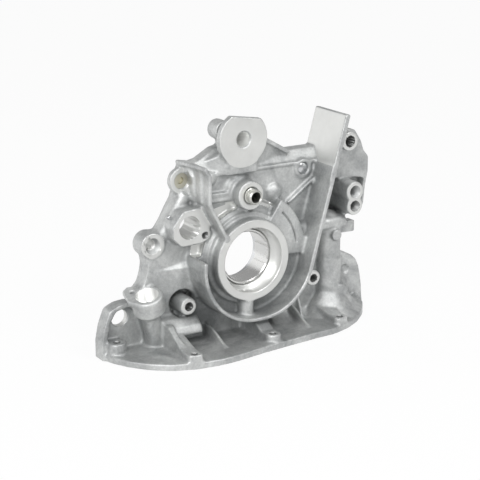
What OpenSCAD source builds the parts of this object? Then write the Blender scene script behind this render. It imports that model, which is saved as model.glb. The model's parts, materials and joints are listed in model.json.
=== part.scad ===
// Crank driven rotor oil pump, cast in one with the front cover of a belt driven V engine.
// X runs to the right as seen from the belt side, Z is up and the crank turns about the Y axis.
// The block lies behind the plane Y = 0, and every "depth" is measured forward from that plane.

/* [Seal housing] */
// Radius of the bore that takes the crank seal
seal_bore_r = 32.5; // [31:0.25:33.5]
// Wall round the seal bore
seal_wall = 8.5; // [7:0.5:9.5]
// Depth of the front face of the seal ring
ring_depth = 45; // [43:0.5:47]
// How far the seal goes in
seal_seat = 12; // [10:0.5:12.5]
// Radius of the drain hole at the bottom of the seal bore
drain_r = 2.2; // [1.5:0.1:3]

/* [Rotors] */
// Radius of the crank bore in the drive rotor
crank_bore_r = 25.2; // [24:0.2:25.6]
// Root radius of the drive rotor
rotor_root_r = 31.2; // [30.8:0.1:31.6]
// Radius of the round teeth inside the driven rotor
tooth_r = 7; // [6.4:0.1:7.4]
// Distance between the two rotor axes
eccentricity = 3.2; // [2.8:0.1:3.4]
// Thickness of both rotors
rotor_t = 12; // [10:0.5:13]
// Rim of the driven rotor outside its chambers
rotor_rim = 4.6; // [4:0.2:5.2]
// Play between the teeth of the two rotors
tooth_play = 0.07; // [0.05:0.01:0.1]
// Radial play of a piece that turns or slides in its bore
running_play = 0.05; // [0.03:0.01:0.09]
// Width of one drive slot in the crank bore
slot_w = 5.2; // [4:0.2:6]
// Wall of the hub that carries the drive slots
hub_wall = 2.4; // [2:0.1:2.6]

/* [Rotor cover] */
// Thickness of the steel plate that closes the rotor chamber
cover_t = 7; // [6.5:0.25:7.5]
// How far that plate stands out of the block face, into a recess of the block
cover_proud = 0.5; // [0.25:0.25:1]
// Number of countersunk screws that hold the plate
cover_screw_n = 9; // [7:1:10]
// Radius of the thread of a cover screw
cover_screw_r = 3; // [2.5:0.1:3.2]
// Length of a cover screw
cover_screw_l = 16; // [14:0.5:18]

/* [Relief valve] */
// Radius of the relief plunger
plunger_r = 8; // [7.4:0.1:8.4]
// Length of the relief plunger
plunger_l = 21; // [18:0.5:24]
// Greatest travel of the relief plunger
plunger_travel = 8; // [6:0.5:9]
// Wall of the cast tube round the valve bore
valve_wall = 6; // [5:0.25:6.5]
// Radius of the wire of the relief spring
spring_wire_r = 0.8; // [0.6:0.05:0.9]
// Number of turns of the relief spring
spring_turns = 11; // [9:1:13]
// Radius of the thread of the plug under the valve
plug_r = 9.6; // [9.2:0.1:10]

/* [Casting] */
// Depth of the thick part of the block flange
flange_depth = 16; // [14:0.5:17]
// Depth of the thin part of the block flange at the upper left
thin_depth = 10; // [9:0.5:11]
// Depth of the left hand panel and of the lower wall
panel_depth = 18; // [17:0.5:19]
// Depth of the panel above the seal housing
upper_depth = 22; // [21:0.5:24]
// Depth of the floor of the trough round the seal ring
moat_depth = 30; // [29:0.5:31]
// Depth of the outlet bulge at the upper right of the seal ring
bulge_depth = 36; // [34:0.5:38]
// Depth of the front edge of the left hand belt wall
left_wall_depth = 46; // [44:0.5:48]
// Depth of the front edge of the right hand belt wall and of the trough wall
belt_wall_depth = 54; // [51:0.5:56]
// Thickness of the belt walls
belt_wall_t = 3.8; // [3:0.2:5]
// Outer radius of the trough wall round the seal ring
moat_wall_r = 60.5; // [60:0.5:62]
// Wall of the casting where it is cored out from behind
skin = 4.2; // [3.5:0.1:5]
// Thickness of the ribs on both sides
rib_t = 3.2; // [2.5:0.1:4]
// Play round every bolt and screw
bolt_play = 0.3; // [0.2:0.05:0.5]

/* [Oil pan flange] */
// Half the width of the flange, and of the casting above it
half_w = 152; // [149:0.5:155]
// Height of the crank axis above the pan face
pan_drop = 84; // [82:0.5:86]
// Thickness of the flange at its edge
pan_flange_t = 6.5; // [6:0.25:8]
// Thickness of the shelf inside the edge
pan_shelf_t = 4; // [3.5:0.25:5]
// Width of the pan gasket face
pan_rim = 11; // [9:0.5:13]
// Height of the pan bolt bosses above the pan face
pan_boss_h = 14; // [12:0.5:16]
// Radius of the pan bolt holes
pan_hole_r = 3.3; // [3:0.1:3.6]

/* [Idler mount] */
// Radius of the face that the idler pulley bears on
idler_r = 27.3; // [25:0.5:29]
// Depth of that face
idler_depth = 30; // [28:0.5:32]
// Thickness of the disc that carries the face
idler_t = 7; // [6:0.5:9]
// Radius of the idler pivot hole
idler_hole_r = 7.4; // [6:0.2:8.5]
// Distance of the flat across the top of the disc from its centre
idler_flat = 21.5; // [20:0.5:24]

/* [Other bosses] */
// Depth of the crank sensor face
sensor_depth = 32; // [30:0.5:34]
// Radius of the crank sensor hole
sensor_hole_r = 11.6; // [10:0.2:12]
// Depth of the front of the boss at the upper left that a plug closes
plug_boss_depth = 14.5; // [13:0.5:16]
// Depth of the front face of the boss that carries the oil nipple
nipple_boss_depth = 40; // [38:0.5:42]
// Radius of that boss
nipple_boss_r = 14.4; // [13:0.2:15]
// Outer radius of the thread of the oil nipple
nipple_r = 7.4; // [6.8:0.1:8]
// Bore of the oil nipple
nipple_bore_r = 5.1; // [4.5:0.1:5.5]
// How far the nipple stands out of its boss
nipple_out = 9; // [7:0.5:11]
// Radius of the bore in the oil return boss
return_bore_r = 11; // [10:0.2:12]
// Depth of the fronts of the two clamp bosses at the right
clamp_depth = 38; // [36:0.5:40]

/* [Hidden] */
$fn = 48;
eps = 0.01;

lobes = 9;
teeth = lobes + 1;
lobe_steps = 30;

ring_r = seal_bore_r + seal_wall;
seal_floor = ring_depth - seal_seat;
cover_back = -cover_proud;
cover_seat = cover_t - cover_proud;
rotor_back = cover_seat + 0.05;
rotor_front = rotor_back + rotor_t;
pocket_floor = rotor_front + 0.05;
arc_centre_r = rotor_root_r + tooth_r + eccentricity;
chamber_r = arc_centre_r - tooth_r + 2 * eccentricity + 0.15;
driven_r = chamber_r + rotor_rim;
pocket_r = driven_r + running_play;
driven_at = [0, eccentricity];
hub_r = crank_bore_r + hub_wall;
throat_r = hub_r + 0.4;
hub_depth = seal_floor - 3;
port_floor = pocket_floor + 7.5;
screw_ring_r = pocket_r + cover_screw_r + 3.4;
screw_lobe_r = 2 * cover_screw_r + 0.3;
housing_r = screw_ring_r + screw_lobe_r + 0.4;

valve_at = [106.5, -16];
valve_top = 11;
valve_bore_r = plunger_r + running_play;
valve_tube_r = plunger_r + valve_wall;
plug_seat_z = 14 - pan_drop;
plug_thread_l = 13;
plug_cup_z = 10;
plunger_crown = 3.5;
plunger_bore_r = plunger_r - 1.7;
spring_r = plunger_bore_r - spring_wire_r - 0.4;
spring_top = valve_top - plunger_crown - spring_wire_r;
spring_foot = plug_seat_z + plug_cup_z + spring_wire_r;

idler_at = [-2.4, 117.8];
left_boss_at = [-97, 23];
upper_left_at = [-62.4, 81.4];
left_hole_at = [23.2 - half_w, -46.4];
left_m8_at = [-66.8, -38.6];
right_m8_at = [77.1, -33.7];
sensor_at = [-63.8, 39.4];
sensor_screw_at = [-47, 29.5];
nipple_at = [0.2, 64];
upper_right_at = [109, 106.8];
clamp_at = [125.4, 50.6];
clamp_low_at = [125.5, 35.6];
outlet_at = [72, 22];
core_plug_at = [70.8, 79.2];
pickup_at = [-54, -8.5];
pickup_face_z = 18 - pan_drop;
passage_z = 18;
passage_depth = 23.6;
passage_r = 4.2;
passage_end = valve_at.x + valve_tube_r + 0.5;
gallery_top = [-58.5, 67.4];
gallery_foot = [-86, 27.6];
gallery_axis_depth = 12.5;
gallery_ball_at = [-79, 48.6];
return_at = [-109.9, -29, -20.8];
right_dowel_at = [half_w - 19, -54];
dowel_holes = [left_boss_at, right_dowel_at];
dowel_r = 7.6;
pan_holes = [[14.7 - half_w, -17.9], [-84.1, -74.3], [8.7, -66], [93.4, -59.5]];
pan_studs = [[half_w - 13, -16], [-40, -76], [52, -63.5]];
wall_lean = 15.6;
trough_shift = 6;
wall_foot = [trough_shift, 0] + (moat_wall_r - belt_wall_t + 1) * [cos(wall_lean), -sin(wall_lean)];
wall_top_z = 135;
pad_foot_z = 83;

cast = [0.70, 0.71, 0.71];
steel = [0.55, 0.56, 0.58];
iron = [0.42, 0.42, 0.43];
brass = [0.78, 0.62, 0.33];
rubber = [0.12, 0.12, 0.13];

// Directions and placing

function dir(a) = [cos(a), sin(a)];
function wall_x(z) = wall_foot.x + (z - wall_foot.y) * tan(wall_lean);

module forward(from, to) {
    translate([0, -from, 0]) rotate([90, 0, 0]) linear_extrude(to - from) children();
}

module upward(from, to) {
    translate([0, 0, from]) linear_extrude(to - from) children();
}

module across(from, to) {
    translate([from, 0, 0]) rotate([90, 0, 90]) linear_extrude(to - from) children();
}

module post(at, r, from, to) {
    translate([at.x, -from, at.y]) rotate([90, 0, 0]) cylinder(r = r, h = to - from);
}

module cone(at, r1, r2, from, to) {
    translate([at.x, -from, at.y]) rotate([90, 0, 0]) cylinder(r1 = r1, r2 = r2, h = to - from);
}

module stand(at, r, from, to) {
    translate([at.x, at.y, from]) cylinder(r = r, h = to - from);
}

module dome(at, r, top) {
    intersection() {
        post(at, r, 10, top + 1);
        translate([at.x, 1.4 * r - top, at.y]) sphere(r = 1.4 * r);
    }
    post(at, r, 10, top - 0.4 * r);
}

module bar(a, b, w) {
    d = b - a;
    translate(a) rotate(atan2(d.y, d.x)) translate([0, -w / 2]) square([norm(d), w]);
}

module path(points, w) {
    for (i = [0:len(points) - 2]) bar(points[i], points[i + 1], w);
    for (i = [1:len(points) - 2]) translate(points[i]) circle(r = w / 2 + 0.1);
}

module arc_wall(r_in, r_out, from, to, a_from, a_to) {
    rotate([90, 0, 0]) rotate([0, 0, a_from]) rotate_extrude(angle = a_to - a_from, $fn = 96)
        translate([r_in, from]) square([r_out - r_in, to - from]);
}

module soft(r) {
    offset(r = r, $fn = 24) offset(delta = -r) children();
}

// Outlines of the casting, drawn in X and Z

module left_end_2d() {
    w = half_w;
    intersection() {
        soft(6) polygon([[-w, -pan_drop - 20], [0.2 - w, -66], [3.2 - w, -51], [9.4 - w, -35.5],
            [19.6 - w, -31.2], [30 - w, -30.2], [-113, -31.5], [-80, -31.5], [-80, -pan_drop - 20]]);
        translate([-200, -pan_drop]) square([104, 80]);
    }
}

module left_panel_2d() {
    polygon([[-108, -pan_drop], [-108, -33], [-116, -31.5], [-116, -23], [-111.5, -19.4], [-107.2, -15],
        [-104.9, -9.4], [-103.1, -2.6], [-102, 4], [-101, 14], [-94, 24], [-60, 24], [-44, 10],
        [-44, -pan_drop]]);
}

module upper_left_2d() {
    polygon([[-101.5, 0], [-103, 10], [-107, 28], [-98, 35], [-88, 35], [-80.9, 45.2], [-75.3, 55.3],
        [-69.6, 64.5], [-68, 70], [-68, 88], [-62, 91.5], [-60.5, 97.8], [-53.8, 97.5], [-45, 94],
        [-40, 90], [-40, 10]]);
}

module upper_centre_2d() {
    polygon([[-44, 0], [-53, 62], [-58, 96], [-42, 99], [-26, 108], [-17, 110], [30, 112],
        [56, 97.5], [wall_x(97), 97.5], [wall_x(0), 0]]);
}

module right_end_2d() {
    soft(5) polygon([[wall_x(10), 10], [wall_x(80), 80], [wall_x(118), 118], [121, 113], [138, 110],
        [146, 98], [150, 87], [156, 80], [156, 64], [153, 50], [151, 30], [144, 21], [128, 23.5],
        [118, 16], [116, 10]]);
}

module lower_right_2d() {
    w = half_w;
    polygon([[40, -pan_drop], [40, 0], [wall_x(16), 16], [120, 16], [120.5, -15.5], [w - 22.1, -19.5],
        [w - 14.3, -23.5], [w - 9, -28.5], [w - 5.4, -36], [w - 3, -46], [w - 1, -58], [w, -73],
        [w, -pan_drop]]);
}

module sensor_2d(grow) {
    offset(r = 7 + grow, $fn = 32) polygon([[-52.5, 50.5], [-47.5, 31], [-52, 28.8], [-70, 28],
        [-75.5, 33.5], [-75.3, 39], [-67, 49.5]]);
}

// Outline of the pan flange, drawn in X and Y

module pan_edge_2d() {
    w = half_w;
    intersection() {
        soft(24) polygon([[-w, 30], [-w, 0], [2 - w, -14.5], [6.5 - w, -28], [14.5 - w, -43],
            [27.5 - w, -59], [-107.5, -72.5], [-84, -81.5], [-57, -84.5], [-39, -83], [-7, -78],
            [25, -74.5], [57, -71.5], [82, -70], [103, -63], [w - 31.5, -53], [w - 13, -37],
            [w - 2, -22], [w, -10], [w, 30]]);
        translate([-200, -100]) square([400, 100]);
    }
}

// The casting, outer form first

module seal_ring() {
    post([0, 0], ring_r, 0, ring_depth, $fn = 96);
    post([0, 0], ring_r + 5, 0, moat_depth + 3, $fn = 96);
    post([0, 0], ring_r + 9, 0, moat_depth - 0.5, $fn = 96);
}

module rotor_housing() {
    post([0, 0], moat_wall_r - 0.5, cover_seat, upper_depth - 1, $fn = 96);
    arc_wall(30, moat_wall_r - 1, upper_depth - 3, moat_depth, 172, 365);
    arc_wall(30, moat_wall_r - 4, cover_seat, upper_depth + 5, 40, 96);
    difference() {
        arc_wall(30, moat_wall_r + 5.6, cover_seat + 1, bulge_depth, -4, 55);
        arc_wall(moat_wall_r - 5.2, moat_wall_r - 3, bulge_depth - 3, bulge_depth + 1, 8, 47);
    }
    // Boss of the seal drain
    stand([-4.5, -37], 7.6, -moat_wall_r + 1, -ring_r + 4);
}

module moat_wall() {
    r = moat_wall_r;
    arc_wall(r - belt_wall_t, r, panel_depth - 6, belt_wall_depth, -188, -86);
    translate([trough_shift, 0, 0]) {
        arc_wall(r - belt_wall_t, r, panel_depth - 6.5, belt_wall_depth - 0.15, -93, -wall_lean);
        arc_wall(30, r - 1.2, panel_depth - skin + 0.5, moat_depth - 0.2, -91, 4 - wall_lean);
    }
}

module right_wall() {
    foot = wall_foot;
    top = [wall_x(wall_top_z), wall_top_z];
    pad = [wall_x(pad_foot_z), pad_foot_z];
    side = dir(-wall_lean);
    up = dir(90 - wall_lean);
    forward(0, belt_wall_depth) difference() {
        union() {
            bar(foot + side * (belt_wall_t / 2 - 1) - up * 3, top + side * (belt_wall_t / 2 - 1),
                belt_wall_t + 0.6);
            bar(pad - side * 1.3, top - side * 1.3 + up * 2, 2.4);
            polygon([pad - side * 3.2 + up * 0.7, pad - side * 3.2 - up * 11, pad - up * 21,
                pad + side + up * 0.7]);
        }
        translate([60, wall_top_z]) square([80, 20]);
    }
}

module left_wall() {
    intersection() {
        forward(thin_depth - 4, left_wall_depth) path([[-65, 99.5], [-54, 97.5], [-48.8, 90], [-48.6, 62],
            [-44, 52], [-39, 43.5], [-29.5, 24.5]], belt_wall_t);
        upward(10, 110) polygon([[-72, 0], [-66, -12], [-54, -left_wall_depth - 1],
            [-10, -left_wall_depth - 1], [-10, 0]]);
    }
    forward(thin_depth - 2, left_wall_depth - 13) bar([-51.2, 91], [-50.4, 62], 3.6);
    forward(thin_depth - 2, left_wall_depth - 26) bar([-52.5, 92], [-51, 62], 6);
}

module tapered_panel() {
    intersection() {
        forward(0, upper_depth) upper_centre_2d();
        across(-60, 110) polygon([[0, 0], [-upper_depth, 0], [-upper_depth, 86], [-13, 98], [-13, 114],
            [0, 114]]);
    }
    forward(upper_depth - 3, upper_depth + 2) bar([-40, 85.6], [wall_x(85), 85.6], 2.6);
}

module idler_mount() {
    post(idler_at, idler_r * 0.52, 0, idler_depth - 1);
    difference() {
        post(idler_at, idler_r, idler_depth - idler_t, idler_depth, $fn = 96);
        translate([idler_at.x, -idler_depth - 1, idler_at.y]) rotate([0, 8.8, 0])
            translate([-40, 0, idler_flat]) cube([80, 20, 20]);
    }
    post([-16.2, 125.2], 9.8, 0, idler_depth - 13);
    intersection() {
        forward(0, idler_depth) polygon([[-52, 84], [-42, 95.6], [-26, 104], [-17, 108], [-18, 124],
            [14, 124], [14, 84]]);
        upward(80, 130) polygon([[-54, 0], [-54, -11], [-40, -14], [-20, 1 - idler_depth],
            [14, 1 - idler_depth], [14, 0]]);
    }
    forward(0, upper_depth) path([[56, 96.5], [30, 111.5], [12, 122]], rib_t + 1);
    intersection() {
        forward(0, upper_depth) polygon([[10, 84], [56, 84], [56, 96.5], [30, 110.5], [12, 120]]);
        upward(80, 130) polygon([[9, 0], [9, 1 - idler_depth], [20, -20], [56, -14], [56, 0]]);
    }
}

module belt_side_ribs() {
    forward(upper_depth - 2, upper_depth + 4.5) bar([-46, 66.2], [-10, 65.6], 2.6);
    forward(upper_depth - 2, upper_depth + 4.5) bar([-44, 59.6], [-6, 59.4], 2.6);
    forward(upper_depth - 2, upper_depth + 4.5) bar([52, 46.5], [wall_x(70) - 1, 69], 3);
    forward(upper_depth - 2, upper_depth + 7) path([[wall_x(70) - 2, 66], [84.5, 56], [83, 42],
        [77, 27], [68, 12]], 3);
}

module sensor_mount() {
    forward(2, sensor_depth) sensor_2d(0);
}

module gallery_rib() {
    d = gallery_foot - gallery_top;
    translate([gallery_top.x, -gallery_axis_depth, gallery_top.y]) rotate([0, 90 - atan2(d.y, d.x), 0])
        cylinder(r = 6.3, h = norm(d));
}

module round_bosses() {
    post(left_boss_at, 12.6, 0, flange_depth + 3);
    post(upper_left_at, 13, thin_depth - 1, plug_boss_depth);
    cone(upper_left_at, 8, 13, 1, thin_depth - 0.9);
    post(nipple_at, nipple_boss_r, 10, nipple_boss_depth);
    cone(nipple_at + [-4, 3], nipple_boss_r + 3, nipple_boss_r - 1, upper_depth - 1, upper_depth + 5);
    dome([36.8, 59], 8.3, upper_depth + 5.5);
    dome([-36.4, 81.8], 6.4, upper_depth + 4.5);
    post(core_plug_at, 9.6, 10, upper_depth + 3);
    post(left_m8_at, 8.7, 0, panel_depth + 16);
    post(right_m8_at, 8.2, 0, panel_depth + 18);
    post([107.3, 6.3], 5.8, 10, 34);
    post([115.7, -55.1], 7, 10, 32);
    post(upper_right_at, 9.8, 0, belt_wall_depth - 4);
    post(clamp_at, 10.4, 0, clamp_depth);
    post(clamp_low_at, 9.6, 0, clamp_depth);
}

module right_tray() {
    forward(0, 6) right_end_2d();
    forward(0, panel_depth) difference() {
        right_end_2d();
        offset(delta = -rib_t - 0.6) right_end_2d();
    }
    forward(0, panel_depth) intersection() {
        right_end_2d();
        polygon([[114, 62], [114, 120], [160, 120], [160, 56], [140, 60]]);
    }
    forward(5, flange_depth) polygon([[117, 2], [141.7, 1.4], [141.4, 13.3], [117, 14.4]]);
}

module valve_housing() {
    stand(valve_at, valve_tube_r, -60, valve_top + 5);
    translate([valve_at.x, valve_at.y, valve_top + 5]) sphere(r = valve_tube_r);
    stand(valve_at, valve_tube_r + 1.2, plug_seat_z, -20);
    translate([valve_at.x, valve_at.y, -20.5])
        cylinder(r1 = valve_tube_r + 1.2, r2 = valve_tube_r - 0.4, h = 2.5);
    intersection() {
        union() {
            stand(valve_at, plug_r + 10.2, -pan_drop + 1, plug_seat_z + 3.5);
            translate([valve_at.x, valve_at.y, plug_seat_z + 3.4])
                cylinder(r1 = plug_r + 10.2, r2 = valve_tube_r + 1, h = 7);
        }
        translate([80, -60, -pan_drop]) cube([50, 54, 40]);
    }
}

module at_return() {
    translate(return_at) rotate([13, -16, 0]) children();
}

module return_mount() {
    at_return() {
        translate([0, 0, -18]) cylinder(r = return_bore_r + 4.6, h = 16.4);
        translate([0, 0, -1.7]) cylinder(r1 = return_bore_r + 4.6, r2 = return_bore_r + 2.9, h = 1.7);
        translate([0, 0, -24]) cylinder(r1 = 8.8, r2 = return_bore_r + 4.6, h = 6.1);
        translate([0, 0, -62]) cylinder(r = 8.8, h = 40);
        translate([0, 0, -60]) cylinder(r1 = 11, r2 = 8.8, h = 16);
        translate([0, 0, -4.6]) linear_extrude(4.6) offset(r = 3) offset(delta = -3)
            polygon([[0, 20], [-7.6, 25], [-15, 21.7], [-19, 3.2], [-14.3, -4.5], [0, 0]]);
    }
}

module panel_step() {
    translate([-101, 0.5 - panel_depth, 0]) rotate([0, 0, -6]) across(0, 49)
        polygon([[4, 3], [3.6, 2.4], [-0.4, -3.4], [-0.4, -50], [4, -50]]);
}

module lower_step() {
    across(-92, -54) polygon([[-14.5, -47], [-panel_depth, -47.5], [-27, -51], [-36, -57.5], [-39, -63.5],
        [-37.5, -66], [-26, -68], [-14.5, -68]]);
}

module gusset(x, y_top, z_top, y_end, t = rib_t) {
    across(x - t / 2, x + t / 2) polygon([[-10, z_top], [-y_top, z_top], [-y_end, -pan_drop + 5],
        [-10, -pan_drop + 5]]);
}

module pan_flange() {
    upward(-pan_drop, -pan_drop + pan_flange_t) pan_edge_2d();
    gusset(-88.6, 37, -54, 77, 2 * rib_t);
    gusset(-40.7, 34, -64.5, 66);
    gusset(60, 22, -62, 60);
    gusset(69.6, 20, -57, 30);
    // Hill round the foot of the valve housing
    intersection() {
        upward(1 - pan_drop, -30) intersection() {
            pan_edge_2d();
            translate([50, -90]) square([100, 75]);
        }
        union() {
            translate([valve_at.x + 1, valve_at.y, -pan_drop]) cylinder(r1 = 45, r2 = 27, h = 13);
            translate([valve_at.x + 1, valve_at.y, 12.9 - pan_drop]) cylinder(r1 = 27, r2 = 11, h = 24);
            translate([valve_at.x + 16, valve_at.y + 2, -pan_drop]) cylinder(r1 = 40, r2 = 22, h = 14);
            translate([valve_at.x + 16, valve_at.y + 2, 13.9 - pan_drop]) cylinder(r1 = 22, r2 = 6, h = 26);
        }
    }
    across(35, 120) polygon([[-15, -66], [-panel_depth, -69.5], [-24, -74.5], [-34, -78.5], [-15, -78.5]]);
}

module pan_bosses() {
    foot = -pan_drop + 1;
    stand(pan_holes[0], 9.3, foot, -pan_drop + pan_boss_h + 4);
    intersection() {
        upward(foot, -40) offset(delta = -0.8) pan_edge_2d();
        union() {
            for (i = [1:3]) stand(pan_holes[i], 8, foot, -pan_drop + pan_boss_h);
            boss_back(1, 38, 62);
            boss_back(2, 46, 64);
            boss_back(3, 24, 66);
        }
    }
}

module boss_back(i, y, z) {
    at = pan_holes[i];
    top = -pan_drop + pan_boss_h;
    across(at.x - 7.7, at.x + 7.7) polygon([[-15, -z], [-y, -z], [at.y + 9, top], [at.y, top], [at.y, top - 9],
        [-15, top - 9]]);
}

module outer_form() {
    forward(0, flange_depth) left_end_2d();
    forward(0, panel_depth) left_panel_2d();
    forward(0, thin_depth) upper_left_2d();
    forward(0, panel_depth) lower_right_2d();
    forward(0, panel_depth) polygon([[-50, -pan_drop], [-50, 0], [50, 0], [50, -pan_drop]]);
    tapered_panel();
    right_tray();
}

// What is cored out of it from behind

module back_cores() {
    d = panel_depth - skin;
    w = half_w;
    forward(-1, flange_depth - 8 - skin) soft(5) polygon([[6 - w, -100], [8 - w, -66], [12 - w, -48],
        [19 - w, -37], [-112, -35.5], [-101, -35.5], [-101, -100]]);
    forward(-1, d) soft(4) polygon([[-96, -100], [-96, -12], [-93, 6], [-60, 8], [-50, 0], [-50, -100]]);
    forward(-1, d) soft(4) polygon([[-54, -100], [-54, -20], [54, -20], [54, -100]]);
    forward(-1, d) soft(4) polygon([[50, -100], [50, 8], [112, 8], [113, -16], [w - 27, -28], [w - 16, -40],
        [w - 11, -60], [w - 9, -100]]);
    forward(-1, upper_depth - skin) soft(4) polygon([[-42, 30], [-48, 66], [-50, 79], [56, 79], [80, 79],
        [wall_x(66) - 6, 66], [wall_x(20) - 6, 20]]);
    forward(-1, 8) soft(3) polygon([[-36, 92], [-20, 101], [-17, 106], [18, 106], [42, 93]]);
}

module front_recesses() {
    w = half_w;
    forward(flange_depth - 8, flange_depth + 30) soft(5) polygon([[5 - w, -pan_drop + pan_flange_t],
        [6 - w, -66], [9.5 - w, -48], [16 - w, -37], [30 - w, -34], [-114, -40], [-109, -50],
        [-104.5, -66], [-104.5, -pan_drop + pan_flange_t]]);
    post([half_w - 23, -37.5], 5.5, panel_depth - 2.5, 30);
    post([half_w - 16.5, -58.9], 8, panel_depth - 3, 30);
}

module pan_cavity() {
    upward(-pan_drop - 1, -pan_drop + pan_flange_t - pan_shelf_t + 0.01) difference() {
        offset(delta = -pan_rim) pan_edge_2d();
        for (at = pan_holes) translate(at) circle(r = 9.5);
    }
}

// Blocks that stand inside the cored space

module inner_blocks() {
    rotor_housing();
    seal_ring();
    valve_housing();
    post(outlet_at, 12.5, 0, upper_depth);
    post(left_hole_at, 12.4, 0, flange_depth - 8);
    post(dowel_holes[1], 11, 0, panel_depth);
    post(left_m8_at, 17.5, 3, panel_depth);
    post(right_m8_at, 8.2, 0, panel_depth + 4);
    post(nipple_at, 12, 4, 24);
    post(core_plug_at, 9.6, 4, 24);
    suction_duct();
    translate([56, -24, 10]) cube([56, 18, 16]);
    translate([52, -passage_depth, passage_z]) rotate([0, 90, 0]) cylinder(r = passage_r + 3, h = 50);
    translate([98, -passage_depth, passage_z]) rotate([0, 90, 0])
        cylinder(r = passage_r + 3.4, h = passage_end - 98);
    for (x = [-24, 14]) forward(3, panel_depth - 1) bar([x, -50], [x * 1.3, -pan_drop + 3], rib_t);
    forward(3, panel_depth - 1) bar([-44, -20], [-98, -18], rib_t);
    forward(3, panel_depth - 1) bar([50, -24], [132, -30], rib_t);
    forward(3, upper_depth - 1) bar([-20, 50], [-30, 84], rib_t);
    forward(3, upper_depth - 1) bar([26, 50], [36, 84], rib_t);
}

module suction_duct() {
    forward(0, panel_depth) polygon([[-74, pickup_face_z], [-72, -40], [-62, -20], [-52, -12], [-36, -8],
        [-33, -34], [-34, pickup_face_z]]);
}

// What is bored and cut afterwards

module rotor_chamber() {
    post(driven_at, pocket_r, -1, pocket_floor, $fn = 96);
    post(driven_at, housing_r + 0.5, -1, cover_seat, $fn = 96);
    arc_wall(throat_r + 3.2, chamber_r - 1.2, pocket_floor - 1, port_floor, -68, 66);
    arc_wall(throat_r + 3.2, chamber_r - 1.2, pocket_floor - 1, port_floor, 114, 248);
    post([0, 0], throat_r, pocket_floor - 1, seal_floor + 1, $fn = 96);
    post([0, 0], throat_r + 1.2, hub_depth - 3, seal_floor + 1, $fn = 96);
    post([0, 0], seal_bore_r, seal_floor, ring_depth + 1, $fn = 96);
    cone([0, 0], seal_bore_r, seal_bore_r + 1.5, ring_depth - 1, ring_depth + 0.5, $fn = 96);
    for (i = [0:cover_screw_n - 1]) post(screw_place(i), cover_screw_r, 0, cover_back + cover_screw_l + 1.5);
    for (s = [-1, 1]) post(dowel_place(s), 2.5, 0, cover_seat + 6);
}

module oil_ways() {
    // Outlet from the rotors to the valve and to the block
    translate([36, -passage_depth, passage_z]) rotate([0, 90, 0]) cylinder(r = passage_r, h = 100);
    translate([passage_end - 9.1, -passage_depth, passage_z]) rotate([0, 90, 0])
        cylinder(r = passage_r + 1.25, h = 20);
    post(outlet_at, 8, -1, 22);
    post(outlet_at, 10.6, -1, 1.9);
    // Valve bore, its spill port and the thread of its plug
    translate([valve_at.x, valve_at.y, plug_seat_z - 1]) cylinder(r = valve_bore_r, h = valve_top - plug_seat_z + 1);
    translate([valve_at.x, valve_at.y, valve_top - 1]) cylinder(r = plunger_r - 1.6, h = 13);
    translate([valve_at.x, valve_at.y, plug_seat_z - 1]) cylinder(r = plug_r + 0.05, h = plug_thread_l + 1.5);
    translate([valve_at.x, valve_at.y, -pan_drop - 1]) cylinder(r = plug_r + 6.9, h = pan_drop + plug_seat_z + 1);
    translate([valve_at.x, 1, valve_top - 5.5]) rotate([90, 0, 0]) cylinder(r = 3.2, h = 14);
    // Suction from the pickup face to the rotors
    translate([pickup_at.x, pickup_at.y, pickup_face_z - 1]) {
        cylinder(r = 5, h = 34);
        cylinder(r = 7, h = 2.9);
        for (s = [-13, 13]) translate([s, 0, 0]) cylinder(r = 2.6, h = 13);
    }
    translate([pickup_at.x, -10.8, -34]) rotate([0, 52, 0]) cylinder(r = 4.4, h = 12);
    post([-45.5, -26.2], 4.8, 9, 26);
    translate([-45.5, -26, -26.2]) rotate([0, -27, 0]) translate([0, 0, -5]) cube([16, 6.4, 10]);
    // Seal drain down into the trough
    translate([-5.5, -seal_floor - 4.2, -28]) rotate([180, 0, 0]) cylinder(r = drain_r, h = 20);
}

module mounting_holes() {
    difference() {
        post(left_m8_at, 14, panel_depth - 9, panel_depth + 9);
        post(left_m8_at, 8.7, panel_depth - 10, panel_depth + 20);
    }
    post(left_boss_at, 5.4, -1, 40);
    post(left_boss_at, 7.8, 13, 40);
    for (at = dowel_holes) post(at, dowel_r, -1, 8);
    post(gallery_ball_at, 2, gallery_axis_depth + 2.5, 30);
    post(upper_left_at, 7.9, 5, 40);
    post(upper_left_at, 4.4, -1, 10);
    post(left_hole_at, 8.4, -1, 40);
    post(left_m8_at, 4.4, -1, 60);
    post(right_m8_at, 4.2, -1, 60);
    post(idler_at, idler_hole_r, 6, 60);
    cone(idler_at, idler_hole_r, idler_hole_r + 1.6, idler_depth - 1.5, idler_depth + 0.1);
    post(sensor_at, sensor_hole_r, -1, 60);
    post(sensor_screw_at, 3.3, cover_seat + cover_screw_l - 1, 60);
    post(nipple_at, nipple_r, 12, 60);
    cone(nipple_at, nipple_r, nipple_r + 2, nipple_boss_depth - 2, nipple_boss_depth + 0.1);
    post(nipple_at, nipple_bore_r, 2, 14);
    post(core_plug_at, 6.6, upper_depth - 4, 60);
    post(core_plug_at, 4.5, 8, 20);
    post(upper_right_at, 5.7, -1, 80);
    post(clamp_at, 6.4, 12, 60);
    post(clamp_at, 5, -1, 20);
    post(clamp_low_at, 5.6, 20, 60);
    for (at = pan_holes) stand(at, pan_hole_r, -pan_drop - 1, -pan_drop + 30);
    for (at = pan_studs) stand(at, pan_hole_r - 0.3, -pan_drop - 1, -pan_drop + 4.5);
    at_return() {
        translate([0, 0, -13]) cylinder(r = return_bore_r, h = 14);
        translate([0, 0, -68]) cylinder(r = 6.4, h = 58);
        translate([-7.8, 14.2, -6]) cylinder(r = 2.6, h = 8);
    }
}

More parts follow.
